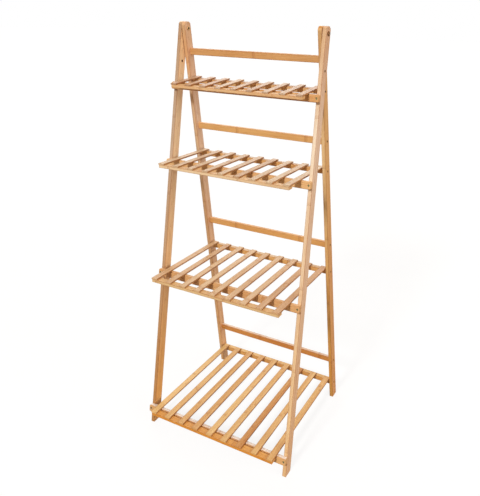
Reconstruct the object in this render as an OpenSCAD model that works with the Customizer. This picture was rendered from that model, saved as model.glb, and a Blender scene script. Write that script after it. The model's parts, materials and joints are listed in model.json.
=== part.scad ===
// Folding plant ladder stand of bamboo boards, with four slatted tiers.
// The front pair of legs carries the crossbars. The rear pair stands inside it, carries the
// back bars and the four shelves, and is joined to the front pair by a pivot at the top.
// Each shelf hinges on two screws in the rear legs and rests on its crossbar, so it lifts up
// and the legs close for storage. X runs across, Y from front to back and Z up.
// The origin lies on the floor, under the middle of the stand's outer box.

/* [Overall] */
// Height of the tops of the legs above the floor
height = 1240; // [1030:5:1490]
// Depth from the front of the lowest shelf to the outer corners of the rear feet
depth = 420; // [350:5:520]
// Width across the caps of the top pivots
width = 490; // [400:5:600]

/* [Legs] */
// Width of a leg board, seen from the side
leg_w = 28; // [23:0.5:36]
// Thickness of a leg board
leg_t = 12; // [10:0.5:16]
// Gap between a front leg and the rear leg beside it
leg_gap = 1; // [0.5:0.25:3]
// Height of a leg's rounded top above the top pivot
leg_rise = 20; // [18:0.5:26]
// How much flatter the top's arc is than a half circle
leg_top_ease = 1; // [0.5:0.25:4]
// Diameter of the spare hole through each front leg
spare_hole_d = 6.5; // [4:0.5:8]
// Distance of the spare hole below the top pivot, along the leg
spare_hole_drop = 98; // [60:1:120]

/* [Bars] */
// Height of a crossbar, measured along the front legs
crossbar_h = 22; // [18:1:26]
// Thickness of a crossbar
crossbar_t = 12; // [10:0.5:16]
// Length of crossbar that stands out past a front leg
crossbar_end = 0; // [0:0.5:20]
// Radius of the corners at a crossbar's ends
crossbar_corner = 5; // [2:0.5:8]
// Radius of a crossbar's long edges
crossbar_edge = 2.5; // [1:0.25:4]
// Height of a back bar, measured along the rear legs
back_bar_h = 20; // [16:1:24]
// Thickness of a back bar
back_bar_t = 9; // [7:0.5:12]
// Distance of the back bars behind the centre line of the rear legs
back_bar_set = 2; // [0:0.5:4]
// Distances from the tops of the legs down to the middles of the two upper back bars
upper_bar_drop = [89, 322.5]; // [60:0.5:420]
// Heights above the floor of the middles of the two lower back bars
lower_bar_z = [582.5, 145]; // [110:0.5:620]

/* [Shelves] */
// Distances from the tops of the legs down to the rear rails of the two upper shelves
upper_rail_drop = [169, 405.5]; // [150:0.5:500]
// Heights above the floor of the tops of the rear rails of the two lower shelves
lower_rail_z = [496.5, 62]; // [50:0.5:520]
// How steeply each shelf slopes down to the front, in degrees, from the top tier down
tier_tilt = [5.5, 0, 0, 0]; // [0:0.1:6]
// Length of slat in front of the crossbar that it rests on, for the three upper shelves
slat_overhang = [39.5, 69, 65]; // [30:0.5:90]
// Distance that the lowest shelf reaches in front of the front feet
lowest_lip = 28; // [28:0.5:60]
// Length of slat behind the hinge, from the top tier down
slat_tail = [12, 7.5, 3.5, 1]; // [0:0.5:15]
// Number of slats in a shelf
slat_count = 9; // [5:1:11]
// Width of a slat
slat_w = 19.5; // [16:0.5:24]
// Thickness of a slat
slat_t = 4.5; // [3.5:0.25:9]
// Gap between a shelf and the rear leg at each side
shelf_gap = 3; // [2:0.5:4]
// Depth of a shelf's rear rail, from front to back
rail_w = 15; // [12:0.5:20]
// Height of a shelf's rear rail
rail_h = 15; // [9:0.5:18]
// Depth of the cleat under the front ends of the slats
cleat_w = 20; // [14:0.5:22]
// Height of that cleat
cleat_h = 9; // [6:0.5:12]
// Length of slat frame left bare beyond each end of the cleat
cleat_inset = 2; // [0:0.5:20]

/* [Hardware] */
// Diameter of the wood screws' shanks, which are also the shelves' hinge pins
screw_d = 4; // [3:0.25:4.5]
// Diameter of the wood screws' heads
screw_head_d = 6.5; // [6:0.25:8]
// Thickness of a wood screw's head
screw_head_t = 2.4; // [2:0.1:3]
// Depth of a screw head's face below the surface of the wood
screw_sink = 1; // [0.5:0.25:2]
// Diameter of the brass sleeve at the top pivot
sleeve_d = 8; // [7:0.25:10]
// Diameter of the sleeve's cap and of the bolt's head
cap_d = 12; // [10:0.5:14]
// Height of the cap above the front leg's outer face
cap_rise = 3.5; // [2:0.25:4.5]
// Depth of the recess that the cap sits in
cap_sink = 1.5; // [1:0.25:3]
// Diameter of the bolt inside the sleeve
bolt_d = 5; // [4:0.25:5.5]
// Thickness of the bolt's head
bolt_head_t = 2.5; // [2:0.25:4]
// Width across the flats of the key sockets
socket_af = 4; // [3:0.5:5]

/* [Fits] */
// Radial clearance of the pins and screws in their holes
pin_clear = 0.05; // [0.02:0.01:0.1]
// Clearance between the shelves and the crossbars they rest on
rest_clear = 0.3; // [0.2:0.05:0.6]
// Clearance of the cap in its recess
cap_clear = 1; // [0.5:0.25:2]

/* [Hidden] */
SIDES = [-1, 1];
FRONT = -1;
REAR = 1;
edge_r = 1.5;
slat_edge_r = 1;
round_fn = 32;
arc_fn = 96;
overlap = 1;

bamboo_side = [0.84, 0.68, 0.51];
bamboo_bar = [0.88, 0.67, 0.42];
bamboo_slat = [0.93, 0.78, 0.60];
brass = [0.80, 0.70, 0.40];
dark_steel = [0.25, 0.22, 0.20];

// The legs: the outer edge of each runs from its foot's corner to leg_w / 2 from the pivot.
pivot_z = height - leg_rise;
foot_y = (depth - lowest_lip) / 2;
lean = atan(foot_y / pivot_z) - asin(leg_w / 2 / norm([foot_y, pivot_z]));
leg_len = pivot_z / cos(lean) + leg_w;
front_leg_x = width / 2 - cap_rise - leg_t / 2;
crossbar_len = 2 * front_leg_x + leg_t + 2 * crossbar_end;
rear_leg_x = front_leg_x - leg_t - leg_gap;
rear_clear = 2 * rear_leg_x - leg_t;

// The shelves, in tier order: where each hinge lies, in height and in Y behind the pivot.
rail_z = concat([for (drop = upper_rail_drop) height - drop], lower_rail_z);
TIERS = [0 : len(rail_z) - 1];
shelf_w = rear_clear - 2 * shelf_gap;
slat_pitch = (shelf_w - slat_w) / (slat_count - 1);
hinge_z = [for (z = rail_z) z - rail_h / 2];
hinge_run = [for (z = hinge_z) (pivot_z - z) * tan(lean)];

// The crossbars: the slats, at their slope, rest on the rounded upper front edge. That
// edge's corner lies edge_drop down the front legs and edge_out in front of their middle.
edge_out = leg_w / 2 + crossbar_t;
edge_drop = [for (i = TIERS) let (tilt = tier_tilt[i], turn = lean + tilt)
    (sin(tilt) * (edge_out * cos(lean) + hinge_run[i])
        + cos(tilt) * (pivot_z + edge_out * sin(lean) - hinge_z[i])
        - rail_h / 2 + rest_clear - crossbar_edge * (cos(turn) + sin(turn) - 1)) / cos(turn)];
crossbar_drop = [for (drop = edge_drop) drop + crossbar_h / 2];

// The same corners from the pivot, as Y and Z, and the slats' reach in front of the hinges.
edge_y = [for (drop = edge_drop) -edge_out * cos(lean) - drop * sin(lean)];
edge_z = [for (drop = edge_drop) pivot_z + edge_out * sin(lean) - drop * cos(lean)];
slat_reach = [for (i = TIERS) i < len(slat_overhang)
    ? slat_overhang[i] + cos(tier_tilt[i]) * (hinge_run[i] - edge_y[i])
        + sin(tier_tilt[i]) * (hinge_z[i] - edge_z[i])
    : (foot_y + lowest_lip + hinge_run[i]) / cos(tier_tilt[i])];

// The outer box is centred on Y = 0, and the lowest shelf reaches out past the front feet.
pivot_y = lowest_lip / 2;
hinge_y = [for (run = hinge_run) pivot_y + run];

// The back bars: the height of each one's middle, and its distance down the rear legs.
back_bar_z = concat([for (drop = upper_bar_drop) height - drop], lower_bar_z);
back_bar_drop = [for (z = back_bar_z) (pivot_z - z - back_bar_set * sin(lean)) / cos(lean)];

// The screws: how far each goes past the face that its head sits on, and their heads.
leg_screw_grip = 34;
crossbar_screw_sink = 3.5;
crossbar_screw_grip = 26;
screw_tip = 4;
pin_hole_spare = 1;
cross_slot = [4, 0.9, 1.2];
cap_chamfer = 0.8;
socket_depth = 2;
sleeve_short = 3;
bolt_thread_short = 4;

pivot_stack = 2 * leg_t + leg_gap;
sleeve_len = pivot_stack - cap_sink - sleeve_short;

// A rectangle about the origin with rounded corners.
module rounded_rect(a, b, r) {
    square([a - 2 * r, b], center = true);
    square([a, b - 2 * r], center = true);
    for (x = SIDES, y = SIDES)
        translate([x * (a / 2 - r), y * (b / 2 - r)]) circle(r, $fn = round_fn);
}

// A bar along X with eased long edges: dy deep and dz high.
module bar(length, dy, dz, r = edge_r) {
    rotate([90, 0, 90])
        linear_extrude(length, center = true) rounded_rect(dy, dz, r);
}

// A round hole or shank along X, from x = from to x = to.
module along_x(from, to, d) {
    translate([from, 0, 0]) rotate([0, 90, 0]) cylinder(h = to - from, d = d, $fn = round_fn);
}

// Puts its children in the frame of one pair of legs: the origin on the top pivot, Z along
// the leg, X across.
module on_legs(pair) {
    translate([0, pivot_y, pivot_z]) rotate([pair * lean, 0, 0]) children();
}

// A leg board about the pivot: rounded top, and long enough to be cut off at the floor.
module leg_blank() {
    top_r = leg_w / 2 + leg_top_ease;
    arc_z = (leg_rise - top_r) / cos(lean);
    intersection() {
        rotate([0, 0, 90])
            translate([0, 0, -leg_len])
                linear_extrude(leg_len + leg_rise + leg_w) rounded_rect(leg_w, leg_t, edge_r);
        rotate([90, 0, 90])
            linear_extrude(leg_t + 2 * overlap, center = true) {
                translate([0, arc_z]) circle(top_r, $fn = arc_fn);
                translate([-top_r, -leg_len - overlap]) square([2 * top_r, leg_len + overlap + arc_z]);
            }
    }
}

// Takes away whatever hangs below the floor.
module cut_at_floor() {
    difference() {
        children();
        translate([-width, -depth, -leg_w * 2]) cube([2 * width, 2 * depth, leg_w * 2]);
    }
}

module front_leg(side) {
    outer = side * leg_t / 2;
    color(bamboo_side) translate([side * front_leg_x, 0, 0]) cut_at_floor() on_legs(FRONT)
        difference() {
            leg_blank();
            along_x(-leg_t, leg_t, sleeve_d + 2 * pin_clear);
            translate([outer, 0, 0])
                along_x(-cap_sink, cap_sink, cap_d + 2 * cap_clear);
            translate([0, 0, -spare_hole_drop]) along_x(-leg_t, leg_t, spare_hole_d);
            for (drop = crossbar_drop)
                translate([0, 0, -drop]) crossbar_pilot();
        }
}

// The hole that a crossbar's screw cuts in a front leg.
module crossbar_pilot() {
    depth_in_leg = crossbar_screw_grip - (crossbar_t - crossbar_screw_sink) + pin_hole_spare;
    translate([0, -leg_w / 2 + depth_in_leg, 0]) rotate([90, 0, 0])
        cylinder(h = depth_in_leg + overlap, d = screw_d + 2 * pin_clear, $fn = round_fn);
}

// A screw's hole through a leg from its outer face, with the recess for the head.
module leg_screw_hole(side) {
    recess = screw_sink + screw_head_t;
    along_x(-leg_t, leg_t, screw_d + 2 * pin_clear);
    translate([side * leg_t / 2, 0, 0])
        along_x(-recess, recess, screw_head_d + 2 * pin_clear);
}

module rear_leg(side) {
    color(bamboo_side) difference() {
        translate([side * rear_leg_x, 0, 0]) cut_at_floor() on_legs(REAR)
            difference() {
                leg_blank();
                along_x(-leg_t, leg_t, sleeve_d + 2 * pin_clear);
                for (drop = back_bar_drop)
                    translate([0, back_bar_set, -drop]) leg_screw_hole(side);
            }
        for (i = TIERS)
            translate([side * rear_leg_x, hinge_y[i], hinge_z[i]]) leg_screw_hole(side);
    }
}

// A screw's hole through a crossbar from its front face, with the recess for the head.
module crossbar_screw_hole() {
    rotate([90, 0, 0]) {
        cylinder(h = 2 * crossbar_t, d = screw_d + 2 * pin_clear, center = true, $fn = round_fn);
        translate([0, 0, crossbar_t / 2 - crossbar_screw_sink])
            cylinder(h = crossbar_t, d = screw_head_d + 2 * pin_clear, $fn = round_fn);
    }
}

// A crossbar: rounded at the ends, with a recessed screw hole at each front leg.
module crossbar(tier) {
    color(bamboo_bar)
        on_legs(FRONT) translate([0, -(leg_w + crossbar_t) / 2, -crossbar_drop[tier]])
            difference() {
                intersection() {
                    bar(crossbar_len, crossbar_t, crossbar_h, crossbar_edge);
                    rotate([90, 0, 0]) linear_extrude(crossbar_t + overlap, center = true)
                        rounded_rect(crossbar_len, crossbar_h, crossbar_corner);
                }
                for (side = SIDES) translate([side * front_leg_x, 0, 0]) crossbar_screw_hole();
            }
}

// A back bar: fitted between the rear legs, with a hole in each end for its screw.
module back_bar(tier) {
    hole = leg_screw_grip - leg_t + screw_sink + screw_head_t + pin_hole_spare;
    color(bamboo_bar) on_legs(REAR) translate([0, back_bar_set, -back_bar_drop[tier]])
        difference() {
            bar(rear_clear, back_bar_t, back_bar_h);
            for (side = SIDES)
                scale([side, 1, 1])
                    along_x(rear_clear / 2 - hole, rear_clear, screw_d + 2 * pin_clear);
        }
}

// Puts its children on a shelf's hinge line, with the shelf reaching down its slope to -Y.
module on_hinge(tier) {
    translate([0, hinge_y[tier], hinge_z[tier]]) rotate([tier_tilt[tier], 0, 0]) children();
}

// The rail under the rear ends of a shelf's slats, bored at both ends for the hinge pins.
module rear_rail(tier) {
    hole = leg_screw_grip - leg_t + screw_sink + screw_head_t - shelf_gap + pin_hole_spare;
    color(bamboo_bar) on_hinge(tier) difference() {
        bar(shelf_w, rail_w, rail_h);
        for (side = SIDES)
            scale([side, 1, 1])
                along_x(shelf_w / 2 - hole, shelf_w, screw_d + 2 * pin_clear);
    }
}

// The cleat under the front ends of a shelf's slats, flush with them at the front.
module front_cleat(tier) {
    color(bamboo_bar) on_hinge(tier)
        translate([0, cleat_w / 2 - slat_reach[tier], rail_h / 2 - cleat_h / 2])
            bar(shelf_w - 2 * cleat_inset, cleat_w, cleat_h);
}

// One slat, on top of the rear rail and the front cleat, flush with the cleat's front.
module slat(tier, n) {
    length = slat_reach[tier] + slat_tail[tier];
    x = (n - (slat_count + 1) / 2) * slat_pitch;
    color(bamboo_slat) on_hinge(tier)
        translate([x, slat_tail[tier] - length / 2, (rail_h + slat_t) / 2])
            rotate([0, 0, 90]) bar(length, slat_w, slat_t, slat_edge_r);
}

// A wood screw along +X: the head's underside at x = 0 and the point at x = grip.
module wood_screw(grip) {
    rotate([0, 90, 0]) difference() {
        union() {
            translate([0, 0, -screw_head_t]) cylinder(h = screw_head_t, d = screw_head_d, $fn = round_fn);
            cylinder(h = grip - screw_tip, d = screw_d, $fn = round_fn);
            translate([0, 0, grip - screw_tip])
                cylinder(h = screw_tip, d1 = screw_d, d2 = screw_d / 4, $fn = round_fn);
        }
        for (turn = [0, 90])
            rotate([0, 0, turn]) translate([0, 0, -screw_head_t])
                cube([cross_slot[0], cross_slot[1], 2 * cross_slot[2]], center = true);
    }
}

module crossbar_screws() {
    color(dark_steel) for (drop = crossbar_drop, side = SIDES)
        on_legs(FRONT)
            translate([side * front_leg_x, -leg_w / 2 - crossbar_t + crossbar_screw_sink, -drop])
                rotate([0, 0, 90]) wood_screw(crossbar_screw_grip);
}

// A screw driven through a rear leg from its outer face.
module leg_screw(side) {
    translate([side * (rear_leg_x + leg_t / 2 - screw_sink - screw_head_t), 0, 0])
        scale([-side, 1, 1]) wood_screw(leg_screw_grip);
}

// The sixteen equal screws of the rear legs: eight hold the back bars, and eight carry the
// shelves, which turn on their shanks.
module rear_leg_screws() {
    color(dark_steel) for (i = TIERS, side = SIDES) {
        on_legs(REAR) translate([0, back_bar_set, -back_bar_drop[i]]) leg_screw(side);
        translate([0, hinge_y[i], hinge_z[i]]) leg_screw(side);
    }
}

// The brass sleeve that both legs turn on: a chamfered cap with a key socket, outside the
// front leg, and a barrel that ends inside the rear leg.
module pivot_sleeve() {
    cap_t = cap_sink + cap_rise;
    difference() {
        rotate_extrude($fn = round_fn)
            polygon([[0, -sleeve_len], [sleeve_d / 2, -sleeve_len], [sleeve_d / 2, 0],
                [cap_d / 2, 0], [cap_d / 2, cap_t - cap_chamfer],
                [cap_d / 2 - cap_chamfer, cap_t], [0, cap_t]]);
        translate([0, 0, -sleeve_len - overlap])
            cylinder(h = sleeve_len + cap_t + 2 * overlap, d = bolt_d + 2 * pin_clear, $fn = round_fn);
        translate([0, 0, cap_t - socket_depth])
            cylinder(h = socket_depth + overlap, d = (bolt_d + 1) / cos(30), $fn = 6);
    }
}

module pivot_sleeves() {
    color(brass) for (side = SIDES)
        on_legs(REAR) translate([side * (front_leg_x + leg_t / 2 - cap_sink), 0, 0])
            rotate([0, side * 90, 0]) pivot_sleeve();
}

// The bolt that draws the sleeve up, with its head on the rear leg's inner face.
module pivot_bolt() {
    grip = pivot_stack - cap_sink - bolt_thread_short;
    difference() {
        union() {
            cylinder(h = grip, d = bolt_d, $fn = round_fn);
            rotate_extrude($fn = round_fn)
                polygon([[0, 0], [cap_d / 2, 0], [cap_d / 2, cap_chamfer - bolt_head_t],
                    [cap_d / 2 - cap_chamfer, -bolt_head_t], [0, -bolt_head_t]]);
        }
        translate([0, 0, -bolt_head_t - overlap])
            cylinder(h = socket_depth + overlap, d = socket_af / cos(30), $fn = 6);
    }
}

module pivot_bolts() {
    color(brass) for (side = SIDES)
        on_legs(REAR) translate([side * (rear_leg_x - leg_t / 2), 0, 0])
            rotate([0, side * 90, 0]) pivot_bolt();
}

front_leg(-1);  // front_leg_left
front_leg(1);  // front_leg_right
rear_leg(-1);  // rear_leg_left
rear_leg(1);  // rear_leg_right
for (i = TIERS) {
    crossbar(i);
    back_bar(i);
    rear_rail(i);
    front_cleat(i);
    for (n = [1 : slat_count])
        slat(i, n);
}
crossbar_screws();
rear_leg_screws();
pivot_sleeves();
pivot_bolts();
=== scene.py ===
"""The looks of a folding plant ladder stand: bamboo boards, dark steel screws and brass pivot caps."""
import json
import math
import random

import bmesh
import bpy
from mathutils import Matrix, Vector


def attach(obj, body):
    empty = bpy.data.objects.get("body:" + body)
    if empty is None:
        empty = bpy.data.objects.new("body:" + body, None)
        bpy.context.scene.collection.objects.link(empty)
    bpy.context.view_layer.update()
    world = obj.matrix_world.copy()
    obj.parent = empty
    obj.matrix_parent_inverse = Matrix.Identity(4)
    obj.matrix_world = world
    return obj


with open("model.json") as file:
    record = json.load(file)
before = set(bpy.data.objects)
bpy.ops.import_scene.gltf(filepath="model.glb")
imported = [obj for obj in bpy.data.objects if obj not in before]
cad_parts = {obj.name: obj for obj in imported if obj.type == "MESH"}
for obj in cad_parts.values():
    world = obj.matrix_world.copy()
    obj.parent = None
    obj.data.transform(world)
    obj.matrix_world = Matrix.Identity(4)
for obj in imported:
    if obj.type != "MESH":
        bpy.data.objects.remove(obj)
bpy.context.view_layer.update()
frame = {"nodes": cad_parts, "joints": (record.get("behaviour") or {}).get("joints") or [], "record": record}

# ---------------------------------------------------------------- what the frame says
TIERS = (1, 2, 3, 4)
SLATS = range(1, 10)
X = (1.0, 0.0, 0.0)
joint_at = {joint["name"]: Vector(joint["pos_m"]) for joint in frame["joints"]}
mount = {place["name"]: place for place in frame["record"]["mounts"]}

# The shelves' hinges lie on one line that leans with the rear legs; the front legs lean the other way.
hinges = [joint_at[f"shelf_{tier}_lift"] for tier in TIERS]
lean = math.atan2(hinges[-1].y - hinges[0].y, hinges[0].z - hinges[-1].z)
FRONT_UP = (0.0, math.sin(lean), math.cos(lean))
REAR_UP = (0.0, -math.sin(lean), math.cos(lean))
FRONT_ACROSS = (0.0, math.cos(lean), -math.sin(lean))
REAR_ACROSS = (0.0, math.cos(lean), math.sin(lean))

# The spare holes run along X through the front legs, at the same height and depth left and right.
SPARE_HOLE = Vector(mount["left_spare_hole"]["pos_m"])
HOLE_R = mount["left_spare_hole"]["dims"]["r_mm"] / 1000

# ---------------------------------------------------------------- camera and light values
# Camera, fitted to the photograph: metres, degrees, and pixels of the photograph
PHOTO_W, PHOTO_H = 480.0, 496.0
CAMERA_AT = (0.81958, -1.30297, 1.25251)
CAMERA_YAW, CAMERA_PITCH, CAMERA_ROLL = 24.61, -12.49, 1.69
FOCAL_PX = 535.03
PRINCIPAL_PX = (316.66, 139.42)
SENSOR_MM = 36.0
CLIP = (0.05, 100.0)

# Light: a warm sky, and three suns, each with the direction in which it shines and its angle in degrees
SKY = 0.36
SKY_TINT = (1.0, 0.80, 0.62, 1.0)
KEY = dict(towards=(0.03, 0.81, -0.59), energy=2.25, angle=10.0)
FILL = dict(towards=(-0.95, 0.10, -0.22), energy=1.80, angle=50.0)
BACK = dict(towards=(0.62, -0.70, -0.30), energy=1.1, angle=60.0)

# Floor: a square just under the feet. The camera sees it white, of which shadows can take away the share
# FLOOR_SHADE, with a little extra glow. The light that it throws back on the stand is brown.
FLOOR_HALF = 40.0
FLOOR_DROP = 0.0006
FLOOR_SHADE = 0.16
FLOOR_GLOW = 0.02
FLOOR_BOUNCE = (0.26, 0.18, 0.11, 1.0)
WHITE = (1.0, 1.0, 1.0, 1.0)


# ---------------------------------------------------------------- colours of the boards
def linear(r, g, b):
    """An sRGB colour (0..255) as linear RGBA."""
    def one(v):
        v /= 255
        return v / 12.92 if v <= 0.04045 else ((v + 0.055) / 1.055) ** 2.4
    return (one(r), one(g), one(b), 1.0)


# A leg's wide and narrow faces, its tints at the foot and near the head, and its tone, which is dark at 1.
# The foot's tint, which fades out towards the head, leaves the upper part paler: partly the bamboo's own
# change along the culm, and partly painted sheen.
LEG_LOOKS = {
    "front_leg_left": dict(wide=linear(255, 233, 197), narrow=linear(202, 180, 155), tone=0.10,
                           low=linear(230, 188, 124), high=linear(240, 222, 200)),
    # The right front leg's narrow faces are painted nearly white: a painted highlight on its front face.
    "front_leg_right": dict(wide=linear(250, 226, 202), narrow=linear(251, 240, 220), tone=0.25,
                            low=linear(240, 216, 178), high=linear(232, 208, 180)),
    "rear_leg_left": dict(wide=linear(250, 226, 202), narrow=linear(245, 222, 188), tone=0.45,
                          low=linear(244, 222, 186), high=linear(240, 222, 200)),
    "rear_leg_right": dict(wide=linear(247, 211, 139), narrow=linear(246, 226, 180), tone=0.60,
                           low=linear(238, 202, 132), high=linear(240, 222, 200))}

# The pieces of the tiers, from the top tier down. The narrow faces of both bars share one colour per tier,
# painted pale: a painted reflection of the white surroundings on their varnished tops, nearly white on the
# lowest tier.
# From the top tier down the colours turn from pale to golden: partly the boards' own tone, partly painted
# sheen that is stronger higher up.
SLAT = (linear(213, 187, 159), linear(218, 193, 158), linear(223, 191, 147), linear(234, 195, 130))
CROSSBAR = (linear(235, 192, 131), linear(232, 189, 132), linear(221, 173, 116), linear(223, 178, 119))
BACK_BAR = (linear(236, 195, 135), linear(232, 187, 121), linear(228, 178, 109), linear(224, 168, 92))
BAR_EDGE_SHEEN = (linear(242, 206, 156), linear(240, 202, 150), linear(240, 200, 146), linear(255, 248, 240))
CLEAT_TOP = (linear(232, 192, 136), linear(230, 192, 140), linear(223, 181, 122), linear(231, 171, 88))
CLEAT_FRONT = (linear(247, 212, 161), linear(241, 215, 174), linear(225, 192, 139), linear(227, 158, 52))
# The slats' sides are painted darker and browner than their tops: painted shade.
SLAT_SIDE_SHADE = linear(196, 148, 96)

# Tones, also from the top tier down. A slat's tone is drawn between two values, apart from the dark ones,
# which are given by tier and slat.
# The second tier's crossbar gets the lightest tone, and the back bars of tiers 2 and 3 lighter ones than the
# others: painted light that makes up for the shade of the slats and shelves above them.
CROSSBAR_TONE = (0.34, 0.02, 0.12, 0.16)
BACK_BAR_TONE = (0.45, 0.20, 0.20, 0.60)
RAIL_TONE = 0.32
SLAT_TONES = (0.15, 0.45)
DARK_SLATS = {(1, 1): 0.60, (3, 8): 0.60, (3, 9): 0.50, (4, 3): 0.50, (4, 7): 0.90}

SEED = 41
BOARD_SEEDS = (0.0, 90.0)
rng = random.Random(SEED)


# ---------------------------------------------------------------- node helpers
class Graph:
    """Adds nodes to a shader tree. A value may be a number, a tuple or another node's socket."""

    def __init__(self, tree):
        self.tree = tree

    def add(self, kind, *values, **props):
        n = self.tree.nodes.new(kind)
        for key, value in props.items():
            setattr(n, key, value)
        for socket, value in zip(n.inputs, values):
            self.put(socket, value)
        return n

    def put(self, socket, value):
        if value is None:
            return
        if isinstance(value, bpy.types.NodeSocket):
            self.tree.links.new(value, socket)
        else:
            socket.default_value = value

    def math(self, op, a, b=None, c=None):
        return self.add("ShaderNodeMath", a, b, c, operation=op).outputs[0]

    def minus(self, a, b):
        return self.math("SUBTRACT", a, b)

    def times(self, a, b):
        return self.math("MULTIPLY", a, b)

    def plus(self, total, value, share):
        """The total with a share of the value added."""
        return self.math("MULTIPLY_ADD", value, share, total)

    def unsigned(self, a):
        return self.math("ABSOLUTE", a)

    def vector(self, op, a, b=None):
        return self.add("ShaderNodeVectorMath", a, b, operation=op).outputs[0]

    def length(self, vector):
        return self.add("ShaderNodeVectorMath", vector, operation="LENGTH").outputs["Value"]

    def split(self, vector):
        return self.add("ShaderNodeSeparateXYZ", vector).outputs

    def join(self, x, y, z):
        return self.add("ShaderNodeCombineXYZ", x, y, z).outputs[0]

    def step(self, value, low, high, to_low=0.0, to_high=1.0):
        """Smooth step of value from low..high to to_low..to_high."""
        return self.add("ShaderNodeMapRange", value, low, high, to_low, to_high,
                        interpolation_type="SMOOTHSTEP").outputs[0]

    def fade(self, value, low, high):
        """1 up to low, and 0 from high on."""
        return self.step(value, low, high, 1.0, 0.0)

    def noise(self, place, scale, detail=2.0, rough=0.5):
        """Noise with its own scale along each axis, per metre."""
        n = self.add("ShaderNodeTexNoise", self.vector("MULTIPLY", place, scale))
        n.inputs["Scale"].default_value = 1.0
        n.inputs["Detail"].default_value = detail
        n.inputs["Roughness"].default_value = rough
        return n.outputs[0]

    def mix(self, factor, a, b, blend="MIX"):
        """Mixes two colours: a Mix node has them as inputs 6 and 7, and gives the third output."""
        n = self.add("ShaderNodeMix", data_type="RGBA", blend_type=blend)
        self.put(n.inputs["Factor"], factor)
        self.put(n.inputs[6], a)
        self.put(n.inputs[7], b)
        return n.outputs[2]

    def tint(self, factor, colour, by):
        return self.mix(factor, colour, by, "MULTIPLY")

    def bump(self, height, strength, depth):
        n = self.tree.nodes.new("ShaderNodeBump")
        n.inputs["Strength"].default_value = strength
        n.inputs["Distance"].default_value = depth
        self.put(n.inputs["Height"], height)
        return n.outputs[0]


def group(name, inputs, outputs):
    """A new node group's graph, the sockets that it is given and those that it gives."""
    tree = bpy.data.node_groups.new(name, "ShaderNodeTree")
    for kind, names in (("INPUT", inputs), ("OUTPUT", outputs)):
        for label, socket in names:
            tree.interface.new_socket(label, in_out=kind, socket_type="NodeSocket" + socket)
    return Graph(tree), tree.nodes.new("NodeGroupInput").outputs, tree.nodes.new("NodeGroupOutput").inputs


def material(name):
    """A new material with its graph and its Principled shader."""
    mat = bpy.data.materials.new(name)
    mat.use_nodes = True
    return mat, Graph(mat.node_tree), mat.node_tree.nodes["Principled BSDF"]


def paint(node, mat):
    mesh = frame["nodes"][node].data
    mesh.materials.clear()
    mesh.materials.append(mat)


def extent(node, axis):
    """Where a node starts and ends along an axis."""
    along = [v.co.dot(axis) for v in frame["nodes"][node].data.vertices]
    return min(along), max(along)


# ---------------------------------------------------------------- bamboo values
# Board coordinates are in metres: x along the grain, y across the board, z through it.
BAMBOO_INPUTS = [("Place", "Vector"), ("Facing", "Vector"), ("Half", "Vector"), ("Strip", "Vector"),
                 ("Seed", "Float"), ("Wide colour", "Color"), ("Narrow colour", "Color"),
                 ("Low tint", "Color"), ("High tint", "Color"), ("Tone", "Float"), ("Knots", "Float"),
                 ("Hole", "Vector")]
BAMBOO_OUTPUTS = [("Colour", "Color"), ("Roughness", "Float"), ("Normal", "Vector")]

# A laminated strip: its length, which leaves no mark, its width across the board and its depth through it.
# One piece is wider and deeper than any board. Each strip's noise is shifted by up to STRIP_SHIFT, and its
# seams take the share SEAM of its width or depth.
LAMELLAS = (1.0, 0.00375, 1.0)
ONE_PIECE = (1.0, 1.0, 1.0)
STRIP_SHIFT = (3.0, 3.0, 3.0)
SEAM = 0.05

# Noises: their scales per metre along the board, across it and through it, and their fine detail
STREAKS = dict(scale=(7.0, 620.0, 620.0), detail=3.0, rough=0.6)
BUNDLES = dict(scale=(34.0, 1900.0, 1900.0), detail=1.0, rough=0.4)
CHANGES = dict(scale=(5.0, 22.0, 22.0))
WANDERING = dict(scale=(0.0, 190.0, 190.0), detail=1.0)
RUBBING = dict(scale=(60.0, 300.0, 300.0))
END_DOTS = (1.0, 1100.0, 1100.0)

# Levels of their noise between which the bundles and the rubbed spots come in, and the end dots go out
BUNDLE_LEVELS = (0.56, 0.72)
RUB_LEVELS = (0.52, 0.70)
DOT_LEVELS = (0.16, 0.42)

# Knots: their pitch along a strip, the shift between strips in pitches, and how far a knot strays. The line
# and the halo are full up to the first distance from their middles, and end at the second. KNOTS and
# LEG_KNOTS say how strongly they show on the tiers' boards and on the legs.
KNOT_PITCH = 0.235
KNOT_SHIFT = 7.0
KNOT_STRAY = 0.006
KNOT_LINE = (0.0004, 0.0021)
KNOT_HALO = (0.0015, 0.0075)
HALO_AT = 0.004
KNOTS = 0.9
LEG_KNOTS = 0.6

# Painted shade on the long edges and on the hole's wall and rim: the distances up to which the mark is full,
# and at which it ends. Boards without a hole have theirs far away.
EDGE = (0.0003, 0.0024)
RIM = (0.0002, 0.0009)
NO_HOLE = (9.0, 9.0, 9.0)
WITHOUT_Z = (1.0, 1.0, 0.0)

# How far a face has to look along y to be a narrow one, and along x to be a sawn end
NARROW_TURN = (0.45, 0.85)
CUT_TURN = (0.55, 0.80)

# Where the foot's tint goes out and the head's comes in, in shares of half the length from the middle
FOOT_FADE = (-1.0, 1.0)
HEAD_FADE = (0.50, 0.95)

# How strongly each mark shows, and its tint or colour
STRIP_SHARE, STREAK_SHARE, CHANGE_SHARE = 0.34, 1.15, 0.75
DARK_TINT = linear(214, 176, 136)
BUNDLE_SHARE, BUNDLE_TINT = 0.30, linear(176, 118, 66)
HALO_SHARE, HALO_TINT = 0.28, linear(205, 150, 96)
LINE_SHARE, LINE_BROWN = 0.42, linear(158, 100, 52)
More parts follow.
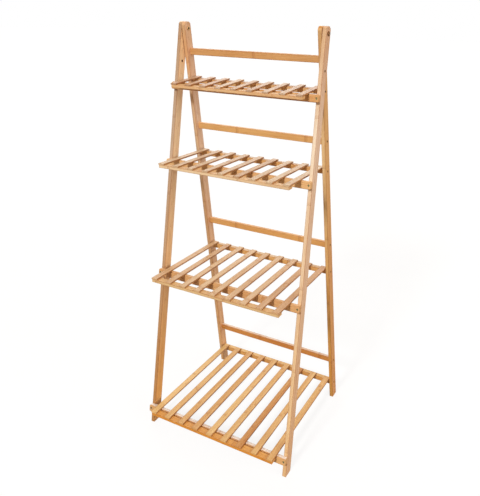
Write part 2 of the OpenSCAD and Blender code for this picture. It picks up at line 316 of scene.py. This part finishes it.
# The long edges are darkened with painted shade, as rounded edges look when they are in shade.
EDGE_SHADE_SHARE, EDGE_SHADE_TINT = 0.68, linear(190, 142, 96)
WORN_SHARE, WORN_PALE = 0.30, linear(250, 222, 180)
DOT_SHARE, DOT_TINT = 0.25, linear(190, 140, 96)
# The spare hole's wall is painted dark brown: painted shade in the recess.
HOLE_SHADE_SHARE, HOLE_SHADE_BROWN = 0.90, linear(118, 74, 40)
END_TINT = linear(255, 254, 252)

# Varnish, what the marks add to its roughness, and the relief: what each mark adds to the bump's height
VARNISH = {"Specular IOR Level": 0.38, "Coat Weight": 0.08, "Coat Roughness": 0.42}
ROUGH, STREAK_ROUGH, OPEN_ROUGH, WORN_ROUGH = 0.42, 0.16, 0.16, 0.10
RELIEF = dict(streak=0.5, bundle=-0.6, halo=0.9, line=-1.1, seam=-0.8, cut_dot=-0.8)
BUMP = dict(strength=0.55, depth=0.00012)


# ---------------------------------------------------------------- bamboo
def knot_marks(g, x, start, strip_tone, strength):
    """A thin dark line across the strip, and the swelling beside it."""
    along = g.plus(x, g.minus(g.noise(start, **WANDERING), 0.5), KNOT_STRAY)
    along = g.plus(g.math("DIVIDE", along, KNOT_PITCH), strip_tone, KNOT_SHIFT)
    off = g.times(g.minus(g.math("FRACT", along), 0.5), KNOT_PITCH)
    line = g.fade(g.unsigned(off), *KNOT_LINE)
    halo = g.fade(g.unsigned(g.minus(off, HALO_AT)), *KNOT_HALO)
    return g.times(line, strength), g.times(halo, strength)


def edge_marks(g, place, half):
    """The long edges, where painted shade goes, and the spots on them that are rubbed pale."""
    inwards = g.vector("SUBTRACT", half, g.vector("ABSOLUTE", place))
    _, from_side, from_top = g.split(inwards)
    edge = g.fade(g.math("MAXIMUM", from_side, from_top), *EDGE)
    return edge, g.times(edge, g.step(g.noise(place, **RUBBING), *RUB_LEVELS))


def seam_mark(g, strips):
    """Fine lines between the strips, across the board and through it."""
    shares = g.split(g.vector("FRACTION", strips))[1:]
    to_seam = [g.minus(0.5, g.unsigned(g.minus(share, 0.5))) for share in shares]
    return g.fade(g.math("MINIMUM", *to_seam), 0.0, SEAM)


def dot_mark(g, place):
    """The bundles as a sawn end shows them: dots."""
    cells = g.add("ShaderNodeTexVoronoi", g.vector("MULTIPLY", place, END_DOTS), feature="F1")
    cells.inputs["Scale"].default_value = 1.0
    return g.fade(cells.outputs["Distance"], *DOT_LEVELS)


def bamboo_marks(g, given):
    """The marks on the wood by name, each from 0 to 1. Every strip has its own tone, knots and fibres."""
    place, half = given["Place"], given["Half"]
    strips = g.vector("DIVIDE", g.vector("ADD", place, half), given["Strip"])
    _, row, layer = g.split(g.vector("FLOOR", strips))
    own = g.add("ShaderNodeTexWhiteNoise", g.join(row, layer, given["Seed"]), noise_dimensions="3D").outputs
    start = g.vector("ADD", place, g.vector("MULTIPLY", own["Color"], STRIP_SHIFT))

    line, halo = knot_marks(g, g.split(place)[0], start, own["Value"], given["Knots"])
    edge, worn = edge_marks(g, place, half)
    facing = g.split(g.vector("ABSOLUTE", given["Facing"]))
    cut = g.step(facing[0], *CUT_TURN)
    dot = dot_mark(g, place)
    return dict(strip=own["Value"], line=line, halo=halo, edge=edge, worn=worn, cut=cut, dot=dot,
                streak=g.noise(start, **STREAKS),
                bundle=g.step(g.noise(start, **BUNDLES), *BUNDLE_LEVELS),
                change=g.noise(start, **CHANGES),
                seam=seam_mark(g, strips),
                narrow=g.step(facing[1], *NARROW_TURN),
                cut_dot=g.times(dot, cut))


def bamboo_colour(g, given, marks):
    """The wood's colour along the board, partly painted sheen, then the marks on it with painted shade on the
    long edges, the sawn ends, and painted shade on the hole's wall.
    """
    share = g.math("DIVIDE", g.split(given["Place"])[0], g.split(given["Half"])[0])
    colour = g.mix(marks["narrow"], given["Wide colour"], given["Narrow colour"])
    # Foot tint: the lower part more orange and the upper part paler, partly the culm's own change and partly
    # painted sheen.
    colour = g.tint(g.fade(share, *FOOT_FADE), colour, given["Low tint"])
    colour = g.tint(g.step(share, *HEAD_FADE), colour, given["High tint"])

    dark = given["Tone"]
    for name, part in (("strip", STRIP_SHARE), ("streak", STREAK_SHARE), ("change", CHANGE_SHARE)):
        dark = g.plus(dark, g.minus(marks[name], 0.5), part)
    colour = g.tint(dark, colour, DARK_TINT)

    colour = g.tint(g.times(marks["bundle"], BUNDLE_SHARE), colour, BUNDLE_TINT)
    colour = g.tint(g.times(marks["halo"], HALO_SHARE), colour, HALO_TINT)
    colour = g.mix(g.times(marks["line"], LINE_SHARE), colour, LINE_BROWN)
    # Painted shade along the long edges.
    colour = g.tint(g.times(marks["edge"], EDGE_SHADE_SHARE), colour, EDGE_SHADE_TINT)
    colour = g.mix(g.times(marks["worn"], WORN_SHARE), colour, WORN_PALE)
    end = g.tint(g.times(marks["dot"], DOT_SHARE), g.tint(1.0, colour, END_TINT), DOT_TINT)
    colour = g.mix(marks["cut"], colour, end)

    # Painted shade on the hole's wall.
    from_hole = g.vector("MULTIPLY", g.vector("SUBTRACT", given["Place"], given["Hole"]), WITHOUT_Z)
    wall = g.fade(g.length(from_hole), *(HOLE_R + reach for reach in RIM))
    return g.mix(g.times(wall, HOLE_SHADE_SHARE), colour, HOLE_SHADE_BROWN)


def bamboo_group():
    g, given, out = group("bamboo", BAMBOO_INPUTS, BAMBOO_OUTPUTS)
    marks = bamboo_marks(g, given)
    g.put(out["Colour"], bamboo_colour(g, given, marks))

    rough = g.plus(ROUGH, marks["streak"], STREAK_ROUGH)
    rough = g.plus(rough, g.math("MAXIMUM", marks["cut"], marks["bundle"]), OPEN_ROUGH)
    g.put(out["Roughness"], g.plus(rough, marks["worn"], WORN_ROUGH))

    height = 0.0
    for name, rise in RELIEF.items():
        height = g.plus(height, marks[name], rise)
    g.put(out["Normal"], g.bump(height, **BUMP))
    return g.tree


BAMBOO = bamboo_group()


def bamboo(node, grain, across, wide, narrow, tone, strip=ONE_PIECE, knots=KNOTS, low=WHITE, high=WHITE,
           hole=NO_HOLE):
    """Gives a node its own bamboo. The grain and across directions are its board's x and y."""
    grain, across = Vector(grain).normalized(), Vector(across).normalized()
    axes = [grain, across, grain.cross(across)]
    spans = [extent(node, axis) for axis in axes]
    centre = sum((axis * (start + end) / 2 for axis, (start, end) in zip(axes, spans)), Vector())
    half = [(end - start) / 2 for start, end in spans]
    turn = tuple(Matrix(axes).transposed().to_euler())

    mat, g, shader = material("bamboo_" + node)
    where = g.tree.nodes.new("ShaderNodeTexCoord").outputs
    place = g.add("ShaderNodeMapping", where["Object"], tuple(centre), turn, vector_type="TEXTURE")
    facing = g.add("ShaderNodeMapping", where["Normal"], (0, 0, 0), turn, vector_type="TEXTURE")
    wood = g.add("ShaderNodeGroup", node_tree=BAMBOO)
    values = {"Place": place.outputs[0], "Facing": facing.outputs[0], "Half": half, "Strip": strip,
              "Seed": rng.uniform(*BOARD_SEEDS), "Wide colour": wide, "Narrow colour": narrow,
              "Low tint": low, "High tint": high, "Tone": tone, "Knots": knots,
              "Hole": Matrix(axes) @ (Vector(hole) - centre)}
    for label, value in values.items():
        g.put(wood.inputs[label], value)
    g.put(shader.inputs["Base Color"], wood.outputs["Colour"])
    g.put(shader.inputs["Roughness"], wood.outputs["Roughness"])
    g.put(shader.inputs["Normal"], wood.outputs["Normal"])
    for label, value in VARNISH.items():
        shader.inputs[label].default_value = value
    paint(node, mat)


# ---------------------------------------------------------------- boards
def shelf_directions(tier):
    """Along a tier's slats towards the back, and square to them upwards, as its middle slat lies."""
    mesh = frame["nodes"][f"shelf_{tier}_slat_5"].data
    edges = [mesh.vertices[b].co - mesh.vertices[a].co for a, b in (e.vertices for e in mesh.edges)]
    longest = max(edges, key=lambda edge: edge.length)
    along = Vector((0.0, 1.0, longest.z / longest.y)).normalized()
    return along, Vector((0.0, -along.z, along.y))


def legs():
    for node, look in LEG_LOOKS.items():
        if node.startswith("front"):
            bamboo(node, FRONT_UP, FRONT_ACROSS, strip=LAMELLAS, knots=LEG_KNOTS, hole=SPARE_HOLE, **look)
        else:
            bamboo(node, REAR_UP, REAR_ACROSS, strip=LAMELLAS, knots=LEG_KNOTS, **look)


def tier_boards(tier):
    """The bars, rail, cleat and slats of one tier. The square rail's front and back count as narrow faces."""
    i = TIERS.index(tier)
    along = shelf_directions(tier)[0]
    bamboo(f"crossbar_{tier}", X, FRONT_UP, CROSSBAR[i], BAR_EDGE_SHEEN[i], CROSSBAR_TONE[i])
    bamboo(f"back_bar_{tier}", X, REAR_UP, BACK_BAR[i], BAR_EDGE_SHEEN[i], BACK_BAR_TONE[i])
    bamboo(f"rear_rail_{tier}", X, along, SLAT[i], BACK_BAR[i], RAIL_TONE)
    bamboo(f"front_cleat_{tier}", X, along, CLEAT_TOP[i], CLEAT_FRONT[i], RAIL_TONE)
    for n in SLATS:
        drawn = rng.uniform(*SLAT_TONES)
        bamboo(f"shelf_{tier}_slat_{n}", along, X, SLAT[i], SLAT_SIDE_SHADE, DARK_SLATS.get((tier, n), drawn))


legs()
for tier in TIERS:
    tier_boards(tier)

# ---------------------------------------------------------------- metals
# Noises, with scales per metre: fine lines, and patches that turn dull and rough between two levels
METAL_LINES = dict(scale=(900.0, 900.0, 900.0), detail=2.0, rough=0.6)
METAL_PATCHES = dict(scale=(420.0, 420.0, 420.0), detail=3.0, rough=0.6)
PATCH_LEVELS = (0.40, 0.75)
PATCH_ROUGH = 0.15
METAL_BUMP = dict(strength=0.3, depth=0.00004)

# The round spot painted on the pivots, a painted highlight on the sleeves' caps and painted shade on the
# bolts'
# heads: its radius, the share of it that blurs, the length over which it ends along X, and a reach beyond the
# stand's sides
SPOT_R = 0.0034
SPOT_BLUR = 0.2
SPOT_END = 0.001
EVERYWHERE = 1.0
WITHOUT_X = (0.0, 1.0, 1.0)


def metal(name, colour, dull, rough, streaks, painted_light_spot=None, spot_reach=EVERYWHERE):
    """A metal with fine lines and duller patches, and a spot of painted light in a given colour around the
    fold axis out to a reach along X.
    """
    mat, g, shader = material(name)
    place = g.tree.nodes.new("ShaderNodeTexCoord").outputs["Object"]
    lines = g.noise(place, **METAL_LINES)
    patch = g.step(g.noise(place, **METAL_PATCHES), *PATCH_LEVELS)
    tone = g.mix(patch, colour, dull)
    if painted_light_spot:
        away = g.vector("MULTIPLY", g.vector("SUBTRACT", place, tuple(joint_at["fold"])), WITHOUT_X)
        inside = g.fade(g.length(away), SPOT_R * (1 - SPOT_BLUR), SPOT_R * (1 + SPOT_BLUR))
        inside = g.times(inside, g.fade(g.unsigned(g.split(place)[0]), spot_reach, spot_reach + SPOT_END))
        tone = g.mix(inside, tone, painted_light_spot)
    shader.inputs["Metallic"].default_value = 1.0
    g.put(shader.inputs["Base Color"], tone)
    g.put(shader.inputs["Roughness"], g.plus(g.plus(rough, lines, streaks), patch, PATCH_ROUGH))
    g.put(shader.inputs["Normal"], g.bump(lines, **METAL_BUMP))
    return mat


# The sleeves' caps get a pale middle outside, a painted highlight, and the bolts' heads a dark one inside the
# rear legs, painted shade as of a socket.
REAR_LEG_X = sum(extent("rear_leg_right", Vector(X))) / 2
BRASS = metal("brass", linear(128, 88, 52), linear(98, 64, 38), rough=0.28, streaks=0.12,
              painted_light_spot=linear(240, 216, 180))
BRONZE = metal("bronze", linear(206, 166, 116), linear(170, 128, 82), rough=0.32, streaks=0.12,
               painted_light_spot=linear(60, 42, 26), spot_reach=REAR_LEG_X)
STEEL = metal("dark_steel", linear(40, 27, 18), linear(26, 18, 12), rough=0.42, streaks=0.2)
ZINC = metal("zinc", linear(148, 140, 100), linear(112, 102, 66), rough=0.32, streaks=0.2)
paint("pivot_sleeves", BRASS)
paint("pivot_bolts", BRONZE)
paint("crossbar_screws", ZINC)
paint("rear_leg_screws", STEEL)

# ---------------------------------------------------------------- nails under the slats
# Domed heads that stand out from the board by NAIL_DOME, reach into it by NAIL_SUNK, and stray in turn to
# both sides of its middle line
NAIL_R = 0.0016
NAIL_DOME = 0.0004
NAIL_SUNK = 0.0005
NAIL_RINGS = 3
NAIL_SEGMENTS = 14
NAIL_STRAY = (-0.0009, 0.0012)


def band(mesh, inner, outer):
    """Faces between two rings."""
    for k in range(NAIL_SEGMENTS):
        after = (k + 1) % NAIL_SEGMENTS
        mesh.faces.new((inner[k], inner[after], outer[after], outer[k]))


def nail_head(mesh, at, along, over):
    """Adds one head that looks down, with a wall that is sunk in the board."""
    top = mesh.verts.new(at - over * NAIL_DOME)
    last = None
    for r in range(1, NAIL_RINGS + 1):
        share = r / NAIL_RINGS
        turns = [2 * math.pi * k / NAIL_SEGMENTS for k in range(NAIL_SEGMENTS)]
        spokes = [Vector(X) * math.cos(turn) + along * math.sin(turn) for turn in turns]
        drop = over * NAIL_DOME * (1 - share * share)
        ring = [mesh.verts.new(at + spoke * NAIL_R * share - drop) for spoke in spokes]
        if last:
            band(mesh, last, ring)
        else:
            for k in range(NAIL_SEGMENTS):
                mesh.faces.new((top, ring[(k + 1) % NAIL_SEGMENTS], ring[k]))
        last = ring
    sunk = [mesh.verts.new(v.co + over * NAIL_SUNK) for v in last]
    band(mesh, last, sunk)
    mesh.faces.new(sunk[::-1])


def nail_heads(tier):
    """One nail under each slat in the rear rail, and one in the cleat, as one piece."""
    along, over = shelf_directions(tier)
    mesh = bmesh.new()
    for board in (f"rear_rail_{tier}", f"front_cleat_{tier}"):
        middle = sum(extent(board, along)) / 2
        underside = extent(board, over)[0]
        for n in SLATS:
            slat_x = sum(extent(f"shelf_{tier}_slat_{n}", Vector(X))) / 2
            at = Vector(X) * slat_x + along * (middle + NAIL_STRAY[n % 2]) + over * underside
            nail_head(mesh, at, along, over)
    bmesh.ops.recalc_face_normals(mesh, faces=mesh.faces)
    data = bpy.data.meshes.new(f"shelf_{tier}_nails")
    mesh.to_mesh(data)
    mesh.free()
    data.materials.append(STEEL)
    for face in data.polygons:
        face.use_smooth = True
    piece = bpy.data.objects.new(f"shelf_{tier}_nails", data)
    bpy.context.scene.collection.objects.link(piece)
    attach(piece, f"shelf_{tier}")


for tier in TIERS:
    nail_heads(tier)


# ---------------------------------------------------------------- floor, sky and lamps
def seen_directly(g):
    """The factor that is 1 for camera, glossy and transmitted rays."""
    path = g.tree.nodes.new("ShaderNodeLightPath").outputs
    mirrored = g.math("MAXIMUM", path["Is Glossy Ray"], path["Is Transmission Ray"])
    return g.math("MAXIMUM", path["Is Camera Ray"], mirrored)


def either(g, unseen, seen, output):
    """Ends a tree: the first shader lights the stand, and the second is what the camera sees."""
    chosen = g.add("ShaderNodeMixShader", seen_directly(g), unseen.outputs[0], seen.outputs[0])
    g.put(g.tree.nodes.new(output).inputs["Surface"], chosen.outputs[0])


def floor():
    data = bpy.data.meshes.new("floor")
    corners = [(x * FLOOR_HALF, y * FLOOR_HALF, 0) for x, y in ((-1, -1), (1, -1), (1, 1), (-1, 1))]
    data.from_pydata(corners, [], [(0, 1, 2, 3)])
    obj = bpy.data.objects.new("floor", data)
    bpy.context.scene.collection.objects.link(obj)
    obj.location.z = -FLOOR_DROP
    mat = bpy.data.materials.new("floor")
    mat.use_nodes = True
    mat.node_tree.nodes.clear()
    g = Graph(mat.node_tree)
    plain = g.add("ShaderNodeBsdfDiffuse", FLOOR_BOUNCE)
    shade = g.add("ShaderNodeBsdfDiffuse", (FLOOR_SHADE, FLOOR_SHADE, FLOOR_SHADE, 1.0))
    glow = g.add("ShaderNodeEmission", WHITE, 1.0 - FLOOR_SHADE + FLOOR_GLOW)
    white = g.add("ShaderNodeAddShader", shade.outputs[0], glow.outputs[0])
    either(g, plain, white, "ShaderNodeOutputMaterial")
    data.materials.append(mat)


def sky():
    world = bpy.data.worlds.new("studio")
    bpy.context.scene.world = world
    world.use_nodes = True
    world.node_tree.nodes.clear()
    g = Graph(world.node_tree)
    light = g.add("ShaderNodeBackground", SKY_TINT, SKY)
    white = g.add("ShaderNodeBackground", WHITE, 1.0)
    either(g, light, white, "ShaderNodeOutputWorld")


def lamp(name, towards, energy, angle):
    data = bpy.data.lights.new(name, "SUN")
    data.energy = energy
    data.angle = math.radians(angle)
    obj = bpy.data.objects.new(name, data)
    obj.rotation_mode = "QUATERNION"
    obj.rotation_quaternion = Vector(towards).to_track_quat("-Z", "Y")
    bpy.context.scene.collection.objects.link(obj)


floor()
sky()
lamp("key", **KEY)
lamp("fill", **FILL)
lamp("back", **BACK)


# ---------------------------------------------------------------- camera
def camera():
    yaw, pitch, roll = (math.radians(v) for v in (CAMERA_YAW, CAMERA_PITCH, CAMERA_ROLL))
    forward = Vector((-math.sin(yaw) * math.cos(pitch), math.cos(yaw) * math.cos(pitch), math.sin(pitch)))
    right = Vector((math.cos(yaw), math.sin(yaw), 0.0))
    up = right.cross(forward)
    right, up = (right * math.cos(roll) + up * math.sin(roll), up * math.cos(roll) - right * math.sin(roll))
    data = bpy.data.cameras.new("camera")
    data.sensor_width = SENSOR_MM
    long_side = max(PHOTO_W, PHOTO_H)
    data.lens = FOCAL_PX * SENSOR_MM / long_side
    data.shift_x = (PHOTO_W / 2 - PRINCIPAL_PX[0]) / long_side
    data.shift_y = (PRINCIPAL_PX[1] - PHOTO_H / 2) / long_side
    data.clip_start, data.clip_end = CLIP
    obj = bpy.data.objects.new("camera", data)
    obj.matrix_world = Matrix.Translation(CAMERA_AT) @ Matrix((right, up, -forward)).transposed().to_4x4()
    bpy.context.scene.collection.objects.link(obj)
    bpy.context.scene.camera = obj


camera()
bpy.context.scene.view_settings.view_transform = "Standard"
